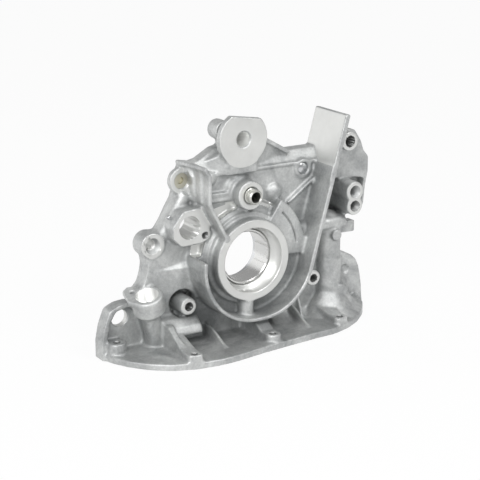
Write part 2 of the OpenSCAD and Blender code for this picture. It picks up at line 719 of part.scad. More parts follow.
function screw_place(i) = driven_at + screw_ring_r * dir(90 + 360 * (i + 0.5) / cover_screw_n);
function dowel_place(s) = driven_at + screw_ring_r * dir(90 + 360 * (s > 0 ? 3 : 7) / cover_screw_n);

module pump_body() {
    color(cast) difference() {
        union() {
            difference() {
                union() {
                    outer_form();
                    idler_mount();
                    pan_flange();
                }
                back_cores();
                front_recesses();
                pan_cavity();
            }
            inner_blocks();
            moat_wall();
            right_wall();
            left_wall();
            belt_side_ribs();
            sensor_mount();
            gallery_rib();
            round_bosses();
            return_mount();
            panel_step();
            lower_step();
            pan_bosses();
        }
        rotor_chamber();
        oil_ways();
        mounting_holes();
    }
}

// Rotors

function turning(t) = arc_centre_r * dir(t) - eccentricity * dir(teeth * t);
function normal(t) = let (n = arc_centre_r * dir(t) - eccentricity * teeth * dir(teeth * t)) n / norm(n);
function lobe_point(t) = turning(t) - (tooth_r + tooth_play) * normal(t);
// Angles that stand closer together in the roots, where the outline turns fastest
function lobe_angle(u) = 360 / lobes * (u - 0.127 * sin(360 * u));

module drive_rotor() {
    steps = lobes * lobe_steps;
    color(steel) difference() {
        union() {
            forward(rotor_back, rotor_front) rotate(-90)
                polygon([for (i = [0:steps - 1]) lobe_point(lobe_angle(i / lobe_steps))]);
            post([0, 0], hub_r, rotor_front - 1, hub_depth, $fn = 96);
        }
        post([0, 0], crank_bore_r, 0, 60, $fn = 96);
        cone([0, 0], crank_bore_r, crank_bore_r + 1.5, hub_depth - 1, hub_depth + 0.5, $fn = 96);
        for (a = [-20, 20, 160, 200]) rotate([0, -a, 0])
            translate([crank_bore_r - 2, -60, -slot_w / 2]) cube([3.2, 60, slot_w]);
    }
}

module driven_rotor() {
    color(iron) difference() {
        post(driven_at, driven_r, rotor_back, rotor_front, $fn = 96);
        difference() {
            post(driven_at, chamber_r, 0, 40, $fn = 96);
            for (i = [0:teeth - 1])
                post(driven_at + arc_centre_r * dir(-90 + 360 * i / teeth), tooth_r, -1, 50);
        }
    }
}

// Cover of the rotor chamber

module cover_screw_head(at, play) {
    cone(at, 2 * cover_screw_r + play, cover_screw_r + play, cover_back - eps, cover_back + cover_screw_r);
}

module rotor_cover() {
    color(steel) difference() {
        union() {
            post(driven_at, pocket_r + 4, cover_back, cover_seat, $fn = 96);
            for (i = [0:cover_screw_n - 1]) post(screw_place(i), screw_lobe_r, cover_back, cover_seat);
            for (s = [-1, 1]) post(dowel_place(s), 4.6, cover_back, cover_seat);
        }
        post([0, 0], crank_bore_r + 2.2, cover_back - 1, 20, $fn = 96);
        for (i = [0:cover_screw_n - 1]) {
            post(screw_place(i), cover_screw_r + bolt_play, cover_back - 1, 20);
            cone(screw_place(i), 2 * cover_screw_r + bolt_play + 1, cover_screw_r + bolt_play,
                cover_back - 1, cover_back + cover_screw_r);
        }
        for (s = [-1, 1]) post(dowel_place(s), 2.52, cover_back - 1, 20);
    }
}

module cover_screws() {
    color(steel) for (i = [0:cover_screw_n - 1]) {
        at = screw_place(i);
        difference() {
            union() {
                cone(at, 2 * cover_screw_r, cover_screw_r, cover_back, cover_back + cover_screw_r);
                post(at, cover_screw_r, cover_back + cover_screw_r - eps, cover_back + cover_screw_l);
            }
            post(at, 1.7, cover_back - 1, cover_back + 1.6, $fn = 6);
        }
    }
}

module cover_dowels() {
    color(steel) for (s = [-1, 1]) post(dowel_place(s), 2.5, cover_back + 0.5, cover_seat + 5.5);
}

// Relief valve

module relief_plunger() {
    color(steel) translate([valve_at.x, valve_at.y, valve_top - plunger_l]) difference() {
        union() {
            cylinder(r = plunger_r, h = plunger_l - 1.5);
            translate([0, 0, plunger_l - 1.5 - eps]) cylinder(r1 = plunger_r, r2 = plunger_r - 1.5, h = 1.5);
        }
        translate([0, 0, -1]) cylinder(r = plunger_bore_r, h = plunger_l - plunger_crown + 1);
    }
}

// Height of the wire at a turn, closed at both ends and evenly wound between them

function spring_z(turn) = let (
    lead = 2 * spring_wire_r,
    open = (spring_top - spring_foot - 2 * lead) / (spring_turns - 2)
) turn < 1 ? lead * turn : turn > spring_turns - 1 ? spring_top - spring_foot - lead * (spring_turns - turn)
    : lead + open * (turn - 1);

module relief_spring() {
    per_turn = 14;
    sides = 6;
    last = per_turn * spring_turns;
    points = [for (i = [0:last]) let (a = 360 * i / per_turn, z = spring_z(i / per_turn))
        for (k = [0:sides - 1]) let (w = 360 * k / sides, r = spring_r + spring_wire_r * cos(w))
            [r * cos(a), r * sin(a), z + spring_wire_r * sin(w)]];
    skin_faces = [for (i = [0:last - 1]) for (k = [0:sides - 1]) let (n = (k + 1) % sides)
        [i * sides + k, (i + 1) * sides + k, (i + 1) * sides + n, i * sides + n]];
    ends = [[for (k = [0:sides - 1]) k], [for (k = [sides - 1:-1:0]) last * sides + k]];
    color(steel) translate([valve_at.x, valve_at.y, spring_foot])
        polyhedron(points, concat(skin_faces, ends), convexity = 10);
}

module relief_plug() {
    color(steel) translate([valve_at.x, valve_at.y, plug_seat_z]) difference() {
        union() {
            cylinder(r = plug_r, h = plug_thread_l);
            translate([0, 0, -7.5]) cylinder(r = 12.7, h = 6, $fn = 6);
            translate([0, 0, -1.5]) cylinder(r = plug_r - 0.8, h = 1.6);
        }
        translate([0, 0, plug_cup_z]) cylinder(r = spring_r + spring_wire_r + 0.15, h = plug_thread_l);
    }
}

module plug_washer() {
    color(brass) translate([valve_at.x, valve_at.y, plug_seat_z - 1.5]) difference() {
        cylinder(r = 12.2, h = 1.5);
        translate([0, 0, -1]) cylinder(r = plug_r - 0.7, h = 4);
    }
}

// Plugs, nipple, dowels and seal rings

module passage_plug() {
    color(steel) translate([passage_end - 9, -passage_depth, passage_z]) rotate([0, 90, 0]) difference() {
        cylinder(r = passage_r + 1.2, h = 8);
        translate([0, 0, 3]) cylinder(r = 3.4, h = 9, $fn = 6);
    }
}

module oil_nipple() {
    wall = nipple_r - nipple_bore_r;
    front = nipple_boss_depth + nipple_out;
    color(steel) translate([nipple_at.x, -14, nipple_at.y]) rotate([90, 0, 0]) rotate_extrude()
        polygon([[nipple_bore_r, 0], [nipple_r - 0.05, 0], [nipple_r - 0.05, nipple_boss_depth - 14.5],
            [nipple_r - 0.9, nipple_boss_depth - 14], [nipple_r - 0.9, nipple_boss_depth - 12.4],
            [nipple_r - 0.05, nipple_boss_depth - 11.6], [nipple_r - 0.05, front - 15.5],
            [nipple_r - 1.2, front - 14], [nipple_bore_r + 0.6, front - 14], [nipple_bore_r, front - 14.8]]);
}

module core_plug() {
    color(steel) intersection() {
        post(core_plug_at, 6.55, upper_depth - 3.5, upper_depth + 3);
        translate([core_plug_at.x, -upper_depth + 8.3, core_plug_at.y]) sphere(r = 11);
    }
}

module switch_port_plug() {
    color(steel) difference() {
        post(upper_left_at, 7.85, 5.1, plug_boss_depth - 3);
        post(upper_left_at, 3.9, plug_boss_depth - 6.5, 20, $fn = 6);
    }
}

module gallery_ball() {
    color(steel) translate([gallery_ball_at.x, -gallery_axis_depth - 5, gallery_ball_at.y]) sphere(r = 1.95);
}

module block_dowels() {
    r = dowel_r - 0.03;
    color(steel) for (at = dowel_holes) translate([at.x, 6, at.y]) rotate([90, 0, 0]) rotate_extrude()
        polygon([[r - 1.8, 0], [r - 0.8, 0], [r, 0.8], [r, 5], [r - 0.5, 5.4], [r - 0.5, 6.4], [r, 6.8],
            [r, 13], [r - 0.8, 13.8], [r - 1.8, 13.8]]);
}

module seal_loop(at, r, w, from) {
    translate([at.x, -from, at.y]) rotate([90, 0, 0]) rotate_extrude() translate([r, 0]) circle(r = w);
}

module outlet_seal_ring() {
    color(rubber) seal_loop(outlet_at, 9.3, 1.15, 0.65);
}

module pickup_seal_ring() {
    color(rubber) translate([pickup_at.x, pickup_at.y, pickup_face_z + 0.65]) rotate_extrude()
        translate([6.1, 0]) circle(r = 0.85);
}

pump_body();
drive_rotor();
driven_rotor();
rotor_cover();
cover_screws();
cover_dowels();
relief_plunger();
relief_spring();
relief_plug();
plug_washer();
passage_plug();
oil_nipple();
core_plug();
switch_port_plug();
gallery_ball();
block_dowels();
outlet_seal_ring();
pickup_seal_ring();
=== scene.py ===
# The oil pump of a car engine with a timing belt, cast in one with the front cover of the engine.
# The solids come packed from the CAD. Here the casting gets the skin that the die gives it,
# and every other piece the finish that it has when it leaves the factory.

import bmesh
import bpy
import json
import numpy as np
import openvdb
from mathutils import Matrix, Vector


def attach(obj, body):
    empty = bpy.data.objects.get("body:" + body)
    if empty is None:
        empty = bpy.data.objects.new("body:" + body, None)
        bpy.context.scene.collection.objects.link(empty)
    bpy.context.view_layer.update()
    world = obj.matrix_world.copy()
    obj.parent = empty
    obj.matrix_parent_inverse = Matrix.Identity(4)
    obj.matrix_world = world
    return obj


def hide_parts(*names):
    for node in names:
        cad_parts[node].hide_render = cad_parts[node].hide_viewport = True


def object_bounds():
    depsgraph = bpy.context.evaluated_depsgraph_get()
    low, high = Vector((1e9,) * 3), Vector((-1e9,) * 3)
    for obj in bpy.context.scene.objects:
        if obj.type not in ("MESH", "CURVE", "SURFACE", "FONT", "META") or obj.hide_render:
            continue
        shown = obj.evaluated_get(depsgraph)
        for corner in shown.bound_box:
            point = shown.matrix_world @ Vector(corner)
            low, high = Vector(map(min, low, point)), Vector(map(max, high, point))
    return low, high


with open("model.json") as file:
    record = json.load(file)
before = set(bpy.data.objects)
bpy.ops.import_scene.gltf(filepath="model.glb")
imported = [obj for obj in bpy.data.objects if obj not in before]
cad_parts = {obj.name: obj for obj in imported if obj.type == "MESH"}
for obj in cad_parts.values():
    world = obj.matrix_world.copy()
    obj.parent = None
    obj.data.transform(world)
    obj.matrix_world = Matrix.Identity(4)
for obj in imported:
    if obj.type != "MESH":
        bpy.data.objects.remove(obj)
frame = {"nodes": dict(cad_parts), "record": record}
nodes = frame["nodes"]
record = frame["record"]
cad_low, cad_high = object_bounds()
scene = bpy.context.scene
mm = 0.001


# The pump body is a pressure die casting in aluminium. It leaves the die with rounded inner
# corners and softly broken edges. The rotor chamber, the seal bore and the bolt holes are
# machined after that, so inside them the exact shape of the CAD stays.

fillet = 1.8 * mm
broken_edge = 0.5 * mm
grid_step = 0.8 * mm
skin_triangles = 180_000
sharp_from = np.radians(40)

# Round every machined hole a space about a millimetre wider keeps the exact shape of the CAD. The
# largest is turned about the crank axis. It holds the rotor chamber with the screw holes round it,
# the ports in the floor of the chamber, the throat and the seal bore. Its radii and depths follow.
chamber_space_r, port_space_r, throat_space_r, seal_space_r = 58.9, 41.4, 29.8, 34.6
cover_seat, chamber_depth, port_depth, seal_depth, ring_depth = 6.3, 20.9, 27, 33.1, 45

# The others: place across and up, then each radius with the depths between which it runs
bored_holes = [
    (-2.4, 117.8, (9.8, 5.9, 30)),
    (-63.8, 39.4, (12.7, 0, 32)),
    (-47, 29.5, (4.2, 21.4, 32)),
    (-97, 23, (6.3, 8.1, 12.9), (8.9, 12.9, 19)),
    (-62.4, 81.4, (5.2, 0, 4.9), (8.9, 4.9, 14.5)),
    (-66.8, -38.6, (5.4, 0, 34)),
    (77.1, -33.7, (5.2, 0, 36)),
    (0.2, 64, (10.2, 11.9, 40)),
    (70.8, 79.2, (7.6, 17.9, 25)),
    (109, 106.8, (6.7, 0, 50)),
    (125.4, 50.6, (7.4, 11.9, 38)),
    (125.5, 35.6, (6.6, 19.9, 38)),
]


def merged(source, name):
    """A copy of a mesh whose loose triangles share their corners."""
    mesh = source.copy()
    mesh.name = name
    shell = bmesh.new()
    shell.from_mesh(mesh)
    bmesh.ops.remove_doubles(shell, verts=shell.verts, dist=0.001 * mm)
    shell.to_mesh(mesh)
    shell.free()
    return mesh


def corners_and_triangles(mesh):
    """The corners of a mesh as rows of x, y, z, and its triangles as rows of three corner numbers."""
    corners = np.empty(len(mesh.vertices) * 3, np.float32)
    mesh.vertices.foreach_get("co", corners)
    mesh.calc_loop_triangles()
    triangles = np.empty(len(mesh.loop_triangles) * 3, np.int32)
    mesh.loop_triangles.foreach_get("vertices", triangles)
    return corners.reshape(-1, 3), triangles.reshape(-1, 3).astype(np.uint32)


def turned_shell(steps, across=0.0, up=0.0, turns=144):
    """The corners and quads of a closed body of revolution. A step is a radius and a depth in front
    of the block, and its points lie at (across + r cos a, -depth, up + r sin a) for the angle a. Both
    ends close on a tip too thin to show."""
    tip_r = 0.001
    profile = np.array([(tip_r, steps[0][1]), *steps, (tip_r, steps[-1][1])], float)
    angle = np.linspace(0, 2 * np.pi, turns, endpoint=False)
    x = across + profile[:, 0, None] * np.cos(angle)
    z = up + profile[:, 0, None] * np.sin(angle)
    y = -np.broadcast_to(profile[:, 1, None], x.shape)
    row, place = np.meshgrid(np.arange(len(profile) - 1), np.arange(turns), indexing="ij")
    after = (place + 1) % turns
    quads = np.stack(
        [row * turns + place, (row + 1) * turns + place, (row + 1) * turns + after, row * turns + after], -1
    )
    return np.stack([x, y, z], -1).reshape(-1, 3) * mm, quads.reshape(-1, 4)


def bored_spaces(over, name):
    """One mesh with the space round every machined hole. Each reaches a length over past the face
    that it is bored from. Where over is negative they stop short of it, and the largest also stops
    short of the seat of the rotor cover."""
    chamber_and_seal = [
        (chamber_space_r, cover_seat - min(over, 0)),
        (chamber_space_r, chamber_depth),
        (port_space_r, chamber_depth),
        (port_space_r, port_depth),
        (throat_space_r, port_depth),
        (throat_space_r, seal_depth),
        (seal_space_r, seal_depth),
        (seal_space_r, ring_depth + over),
    ]
    shells = [turned_shell(chamber_and_seal)]
    for across, up, *parts in bored_holes:
        steps = [(radius, depth) for radius, start, end in parts for depth in (start, end)]
        steps[-1] = (steps[-1][0], steps[-1][1] + over)
        if steps[0][1] == 0:
            steps[0] = (steps[0][0], -over)
        shells.append(turned_shell(steps, across, up, 72))
    shells += [return_bore(over), seal_drain(), arc_groove(over)]
    starts = np.cumsum([0] + [len(points) for points, _ in shells])
    mesh = bpy.data.meshes.new(name)
    mesh.from_pydata(
        np.concatenate([points for points, _ in shells]).tolist(),
        [],
        np.concatenate([faces + start for (_, faces), start in zip(shells, starts)]).tolist(),
    )
    shell = bmesh.new()
    shell.from_mesh(mesh)
    bmesh.ops.remove_doubles(shell, verts=shell.verts, dist=0.005 * mm)
    bmesh.ops.dissolve_degenerate(shell, edges=shell.edges, dist=0.001 * mm)
    bmesh.ops.recalc_face_normals(shell, faces=shell.faces)
    shell.to_mesh(mesh)
    shell.free()
    return mesh


def return_bore(over):
    """The space round the leaning bore at the left and the narrower passage below it, turned about
    the axis that the record gives. Heights count from the rim of the bore, above its mount."""
    mount = next(m for m in record["mounts"] if m["name"] == "return_bore")
    rim_above_mount = 0.5 * mm
    passage_space_r, bore_space_r, shoulder, foot = 7.4, 12.2, -13.1, -60
    steps = [
        (passage_space_r, foot),
        (passage_space_r, shoulder),
        (bore_space_r, shoulder),
        (bore_space_r, over),
    ]
    corners, quads = turned_shell(steps, turns=96)
    axis = Vector(mount["axis"])
    turned = np.array(Vector((0, -1, 0)).rotation_difference(axis).to_matrix())
    rim = np.array(mount["pos_m"]) + rim_above_mount * np.array(axis)
    return corners @ turned.T + rim, quads


def seal_drain():
    """The space round the small upright hole that drains the seal bore into the trough. It is turned
    as if bored from the front, and then stood upright below the crank axis."""
    radius, across, depth, top, foot = 3.2, -5.5, 37.3, -34, -47
    corners, quads = turned_shell([(radius, -top), (radius, -foot)], -across, depth, 48)
    return corners[:, [0, 2, 1]] * (-1, -1, 1), quads


def arc_groove(over):
    """The space round the narrow groove in the rotor housing: a bent bar of rectangular section
    whose points lie at (r cos a, -depth, r sin a) for angles a from 7 to 48 degrees."""
    middle, half_width, floor, front = 56.4, 1.9, 32.2, 36
    angle = np.radians(np.linspace(7, 48, 42))
    radius = middle + half_width * np.array([-1, 1, 1, -1])
    depth = np.array([floor, floor, front + over, front + over])
    x, z = (radius * trace(angle)[:, None] for trace in (np.cos, np.sin))
    corners = np.stack([x, np.broadcast_to(-depth, x.shape), z], -1).reshape(-1, 3) * mm
    steps = len(angle) - 1
    row, side = np.meshgrid(np.arange(steps), np.arange(4), indexing="ij")
    after = (side + 1) % 4
    quads = np.stack([row * 4 + side, row * 4 + after, row * 4 + 4 + after, row * 4 + 4 + side], -1)
    ends = np.array([[3, 2, 1, 0], [0, 1, 2, 3]]) + [[0], [steps * 4]]
    return corners, np.concatenate([quads.reshape(-1, 4), ends])


def moved_out(corners, triangles, quads, distance):
    """The surface that lies a distance outside a closed one, or inside it where the distance is
    negative. It is where the distance field of that surface has the given value."""
    reach = abs(distance) / grid_step + 2
    field = openvdb.FloatGrid.createLevelSetFromPolygons(
        corners,
        triangles=triangles,
        quads=quads,
        transform=openvdb.createLinearTransform(voxelSize=grid_step),
        exBandWidth=reach if distance > 0 else 2.0,
        inBandWidth=reach if distance < 0 else 2.0,
    )
    return field.convertToPolygons(isovalue=distance, adaptivity=0.0)


def cast_skin(corners, triangles):
    """Out by the fillet, in by fillet and broken edge, and out by the broken edge: the first and
    second step round the inner corners, and the last rounds the outer ones."""
    corners, _, quads = moved_out(corners, triangles, None, fillet)
    corners, _, quads = moved_out(corners, None, quads, -(fillet + broken_edge))
    corners, _, quads = moved_out(corners, None, quads, broken_edge)
    return corners, quads[:, ::-1]


def depth_in_recess(corners, quads, places, ball):
    """How deep each place lies below the surface that a ball of that radius can touch, from 0 where
    the ball reaches the casting to 1 where it stays a whole radius away. It follows from the
    distance to the surface on which the middle of the ball rolls, read between cells of its field."""
    step = 2 * mm
    hull_corners, _, hull_quads = moved_out(corners, None, quads, ball)
    field = openvdb.FloatGrid.createLevelSetFromPolygons(
        hull_corners,
        quads=hull_quads,
        transform=openvdb.createLinearTransform(voxelSize=step),
        exBandWidth=2.0,
        inBandWidth=2 * ball / step + 3,
    )
    low, high = (np.array(corner) for corner in field.evalActiveVoxelBoundingBox())
    values = np.zeros(high - low + 1, np.float32)
    field.copyToArray(values, ijk=tuple(int(c) for c in low))
    cell = places / step - low
    first = np.clip(np.floor(cell).astype(int), 0, np.array(values.shape) - 2)
    share = np.clip(cell - first, 0, 1)
    found = np.zeros(len(places))
    for corner in np.ndindex(2, 2, 2):
        weight = np.prod(np.where(corner, share, 1 - share), axis=1)
        found += weight * values[tuple((first + corner).T)]
    return np.clip((-found - ball) / ball, 0, 1)


def with_modifier(obj, kind, **settings):
    """Gives obj the mesh that one modifier makes of its own."""
    modifier = obj.modifiers.new(kind.title(), kind)
    for name, value in settings.items():
        setattr(modifier, name, value)
    view = bpy.context.evaluated_depsgraph_get()
    made = bpy.data.meshes.new_from_object(obj.evaluated_get(view))
    obj.modifiers.clear()
    obj.data = made


def new_object(mesh, name):
    """An object at the origin, unturned, that shows the mesh."""
    obj = bpy.data.objects.new(name, mesh)
    scene.collection.objects.link(obj)
    return obj


# The skin is made with the spaces filled, a little short of the faces that they are bored from
filled_over = -0.3
exact = new_object(merged(nodes["pump_body"].data, "exact_body"), "exact_body")
exact_corners, exact_triangles = corners_and_triangles(exact.data)
filled_corners, filled_triangles = corners_and_triangles(bored_spaces(filled_over, "filled_space"))

# A thin wall closes the front end of the outlet port
port_at, lid_r, lid_back, lid_front = (72, 22), 8.6, 20.4, 22.4
lid_corners, lid_quads = turned_shell([(lid_r, lid_back), (lid_r, lid_front)], *port_at, 48)
lid_triangles = np.concatenate([lid_quads[:, [0, 1, 2]], lid_quads[:, [0, 2, 3]]])

lid_start = len(exact_corners) + len(filled_corners)
skin_corners, skin_quads = cast_skin(
    np.concatenate([exact_corners, filled_corners, lid_corners]).astype(np.float32),
    np.concatenate(
        [exact_triangles, filled_triangles + len(exact_corners), lid_triangles + lid_start]
    ).astype(np.uint32),
)
casting_mesh = bpy.data.meshes.new("casting")
casting_mesh.from_pydata(skin_corners.tolist(), [], skin_quads.tolist())
casting = new_object(casting_mesh, "casting")
kept_share = skin_triangles / (2 * len(skin_quads))
with_modifier(casting, "DECIMATE", ratio=kept_share, use_collapse_triangulate=True)

# Then it loses what the CAD leaves empty in those spaces, which now reach past the faces
bored_over = 3
bored = new_object(bored_spaces(bored_over, "bored_space"), "bored_space")
with_modifier(bored, "BOOLEAN", operation="DIFFERENCE", solver="MANIFOLD", object=exact)
with_modifier(casting, "BOOLEAN", operation="DIFFERENCE", solver="MANIFOLD", object=bored)
for spent in (bored, exact):
    bpy.data.objects.remove(spent)
casting.data.polygons.foreach_set("use_smooth", np.ones(len(casting.data.polygons), bool))
casting.data.set_sharp_from_angle(angle=sharp_from)

# How deep each point lies in a recess is kept as an attribute. The finish paints shade into the recesses by
# it and makes them rougher.
recess_ball_radius = 14 * mm
places = np.empty(len(casting.data.vertices) * 3, np.float32)
casting.data.vertices.foreach_get("co", places)
recess_depth = depth_in_recess(skin_corners, skin_quads[:, ::-1], places.reshape(-1, 3), recess_ball_radius)
recess = casting.data.attributes.new("recess", "FLOAT", "POINT")
recess.data.foreach_set("value", recess_depth.astype(np.float32))


# Where the casting is machined it is bright, and elsewhere it has the grey, finely grained
# skin of the die. Which is which follows from the planes of the faces and from the bores.

# Place across and up, radius and depth of each boss face that is milled
machined_faces = [
    (0, 0, 41.5, 45),
    (-2.4, 117.8, 27.5, 30),
    (-62, 39.4, 25, 32),
    (0.2, 64, 14.6, 40),
    (-97, 23, 12.8, 19),
    (-62.4, 81.4, 13.2, 14.5),
    (-66.8, -38.6, 8.9, 34),
    (77.1, -33.7, 8.4, 36),
    (109, 106.8, 10, 50),
    (125.4, 50.6, 11, 38),
    (125.5, 35.6, 10.8, 38),
]


def face_centres_and_normals(mesh):
    """The middle point and the unit normal of each face, as two arrays of rows."""
    centres = np.empty(len(mesh.polygons) * 3, np.float32)
    normals = np.empty(len(mesh.polygons) * 3, np.float32)
    mesh.polygons.foreach_get("center", centres)
    mesh.polygons.foreach_get("normal", normals)
    return centres.reshape(-1, 3), normals.reshape(-1, 3)


def add_node(tree, kind, values=(), links=()):
    """A new shader node, with the inputs or settings that values names, and with the outputs that
    links names for its inputs."""
    node = tree.nodes.new("ShaderNode" + kind)
    for key, value in dict(values).items():
        if isinstance(key, int) or key in node.inputs:
            node.inputs[key].default_value = value
        else:
            setattr(node, key, value)
    for key, source in dict(links).items():
        tree.links.new(source, node.inputs[key])
    return node


def shader(name, metallic):
    """A material, a function that adds a node to it, and a function that joins an output to a
    socket of its Principled shader."""
    material = bpy.data.materials.new(name)
    material.use_nodes = True
    tree = material.node_tree
    surface = tree.nodes["Principled BSDF"]
    surface.inputs["Metallic"].default_value = metallic

    def add(kind, values=(), links=()):
        return add_node(tree, kind, values, links)

    def join(source, socket):
        tree.links.new(source, surface.inputs[socket])

    return material, add, join


def set_ramp(ramp, start, end, dark, light):
    """Lets a colour ramp run from the dark tone at start to the light one at end."""
    for element, position, tone in zip(ramp.color_ramp.elements, (start, end), (dark, light)):
        element.position = position
        element.color = (*tone, 1)


def grained_metal(name, dark, light, rough, grain, depth, metallic=1.0):
    """Metal whose colour drifts between two tones in patches, with a fine grain in its relief.
    Patches and grain are noise in the piece's own coordinates, given in repeats per metre."""
    material, add, join = shader(name, metallic)
    place = add("TexCoord").outputs["Object"]
    drift = add("TexNoise", {"Scale": 30.0, "Detail": 4.0, "Roughness": 0.6}, {"Vector": place})
    tones = add("ValToRGB", links={"Fac": drift.outputs["Fac"]})
    set_ramp(tones, 0.3, 0.7, dark, light)
    join(tones.outputs["Color"], "Base Color")
    fine = add("TexNoise", {"Scale": grain, "Detail": 3.0, "Roughness": 0.65}, {"Vector": place})
    spread = add(
        "MapRange",
        {"From Min": 0.3, "From Max": 0.7, "To Min": rough[0], "To Max": rough[1]},
        {"Value": drift.outputs["Fac"]},
    )
    join(spread.outputs["Result"], "Roughness")
    relief = add("Bump", {"Strength": 0.5, "Distance": depth}, {"Height": fine.outputs["Fac"]})
    join(relief.outputs["Normal"], "Normal")
    return material


def cast_metal(name, open_tones, painted_shade_tones, rough):
    """The skin of a die casting. Its colour darkens into the recesses as painted shade, and its roughness
    rises there, both by the attribute recess of the mesh. Clouds of some centimetres and a mottle of
    a few millimetres lie over both, and the relief has a swell and a grain."""
    material, add, join = shader(name, 0.75)
    place = add("TexCoord").outputs["Object"]
    recess = add("Attribute", {"attribute_name": "recess"}).outputs["Fac"]
    clouds = add(
        "TexNoise", {"Scale": 32.0, "Detail": 5.0, "Roughness": 0.65, "Distortion": 0.6}, {"Vector": place}
    )
    mottle = add("TexNoise", {"Scale": 420.0, "Detail": 3.0, "Roughness": 0.7}, {"Vector": place})
    mottle_share = 0.35
    blend = add(
        "Math",
        {"operation": "MULTIPLY_ADD", 1: mottle_share},
        {0: mottle.outputs["Fac"], 2: clouds.outputs["Fac"]},
    )
    # The second ramp holds painted shade for the recesses, and the mix fades to it by the depth in recess
    shades = []
    for tones in (open_tones, painted_shade_tones):
        ramp = add("ValToRGB", links={"Fac": blend.outputs[0]})
        set_ramp(ramp, 0.48, 0.88, *tones)
        shades.append(ramp.outputs["Color"])
    # The colour sockets of the mix node are its seventh and eighth
    tone = add("Mix", {"data_type": "RGBA"}, {0: recess, 6: shades[0], 7: shades[1]})
    join(tone.outputs[2], "Base Color")
    dull = add("MapRange", {"To Min": rough[0], "To Max": rough[1]}, {"Value": recess})
    join(dull.outputs["Result"], "Roughness")
    swell = add("TexNoise", {"Scale": 240.0, "Detail": 2.0}, {"Vector": place})
    grain = add("TexNoise", {"Scale": 1300.0, "Detail": 3.0, "Roughness": 0.7}, {"Vector": place})
    first = add("Bump", {"Strength": 0.7, "Distance": 0.25 * mm}, {"Height": swell.outputs["Fac"]})
    second = add(
        "Bump",
        {"Strength": 0.7, "Distance": 0.12 * mm},
        {"Height": grain.outputs["Fac"], "Normal": first.outputs[0]},
    )
    join(second.outputs["Normal"], "Normal")
    return material


# Its recess tones are painted shade, darker than the open tones
cast_aluminium = cast_metal(
    "cast_aluminium",
    open_tones=((0.35, 0.36, 0.362), (0.7, 0.71, 0.7)),
    painted_shade_tones=((0.2, 0.208, 0.21), (0.36, 0.37, 0.37)),
    rough=(0.52, 0.68),
)
machined_aluminium = grained_metal(
    "machined_aluminium",
    (0.64, 0.645, 0.63),
    (0.76, 0.765, 0.75),
    rough=(0.4, 0.5),
    grain=2500,
    depth=0.03 * mm,
    metallic=0.85,
)
# Darker aluminium for the insides of narrow holes: painted shade
hole_shade_aluminium = grained_metal(
    "hole_shade_aluminium",
    (0.22, 0.225, 0.225),
    (0.36, 0.365, 0.36),
    rough=(0.4, 0.55),
    grain=1500,
    depth=0.06 * mm,
    metallic=0.85,
)
centres, normals = face_centres_and_normals(casting.data)
x, depth, z = centres[:, 0] / mm, -centres[:, 1] / mm, centres[:, 2] / mm
forward = -normals[:, 1]
facing = 0.9
slack = 0.3

# The block face, the pan face and the pad on the leaning wall, 61 mm from the crank axis
pan_face_z = -84
machined = (depth < slack) & (forward < -facing)
machined |= (z < pan_face_z + slack) & (normals[:, 2] < -facing)
wall_lean = np.radians(15.6)
wall_side = np.array((np.cos(wall_lean), 0, -np.sin(wall_lean)))
pad_foot_z, pad_offset, pad_slack, pad_facing = 84.3, 61, 0.5, 0.95
pad_plane = abs(centres @ wall_side / mm - pad_offset) < pad_slack
machined |= (z > pad_foot_z) & (normals @ wall_side < -pad_facing) & pad_plane

# The seal bore, the rotor chamber and the milled bosses
space_slack = 0.1
from_crank = np.hypot(x, z)
machined |= (from_crank < seal_space_r + space_slack) & (depth > port_depth - space_slack)
in_chamber = (depth > cover_seat) & (depth < port_depth + space_slack)
machined |= (from_crank < chamber_space_r + space_slack) & in_chamber
for at_x, at_z, radius, plane in machined_faces:
    milled = (np.hypot(x - at_x, z - at_z) < radius) & (abs(depth - plane) < slack)
    machined |= milled & (forward > facing)

# The walls and bottoms of the bores that the record names. Narrow ones get a darker colour inside as
# painted shade, apart from two that the light reaches.
narrow_r, past_end = 7, 1.5
wall_facing, bottom_facing = 0.3, 0.8
bright_holes = ("left_boss_hole", "clamp_bolt_hole")
hole_shade = np.zeros(len(depth), bool)
for mount in record["mounts"]:
    if mount["kind"] in ("bore", "threaded_hole") and mount["name"] != "crank_bore":
        axis = np.array(mount["axis"])
        reach = (centres - np.array(mount["pos_m"])) / mm
        along = reach @ axis
        sideways = reach - along[:, None] * axis
        off = np.linalg.norm(sideways, axis=1)
        inwards = -np.einsum("ij,ij->i", normals, sideways) > wall_facing * off
        wall = off < mount["dims"]["r_mm"] + slack
        wall &= abs(along) < mount["dims"]["length_mm"] + past_end
        wall &= inwards | (normals @ axis > bottom_facing)
        machined |= wall
        if mount["dims"]["r_mm"] < narrow_r and mount["name"] not in bright_holes:
            hole_shade |= wall
casting.data.materials.clear()
for finish in (cast_aluminium, machined_aluminium, hole_shade_aluminium):
    casting.data.materials.append(finish)
casting.data.polygons.foreach_set("material_index", np.where(hole_shade, 2, machined).astype(np.int32))
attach(casting, "casting")
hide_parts("pump_body")


# The two rotors are pressed from iron powder and sintered, then ground to size. The inner one
# carries the hub that the crank drives, and it shows through the seal bore.


def dress(node, material):
    """Gives a CAD node that keeps its own shape its finish."""
    nodes[node].data.materials.clear()
    nodes[node].data.materials.append(material)


sintered_steel = grained_metal(
    "sintered_steel", (0.6, 0.6, 0.59), (0.7, 0.7, 0.69), (0.22, 0.34), 1800, 0.03 * mm
)
sintered_iron = grained_metal(
    "sintered_iron", (0.3, 0.3, 0.3), (0.4, 0.4, 0.39), (0.35, 0.5), 1500, 0.05 * mm
)
dress("drive_rotor", sintered_steel)
dress("driven_rotor", sintered_iron)


# The rotor cover is a ground steel plate that closes the chamber on the side of the block. Zinc
# plated countersunk screws hold it, and two ground pins place it.

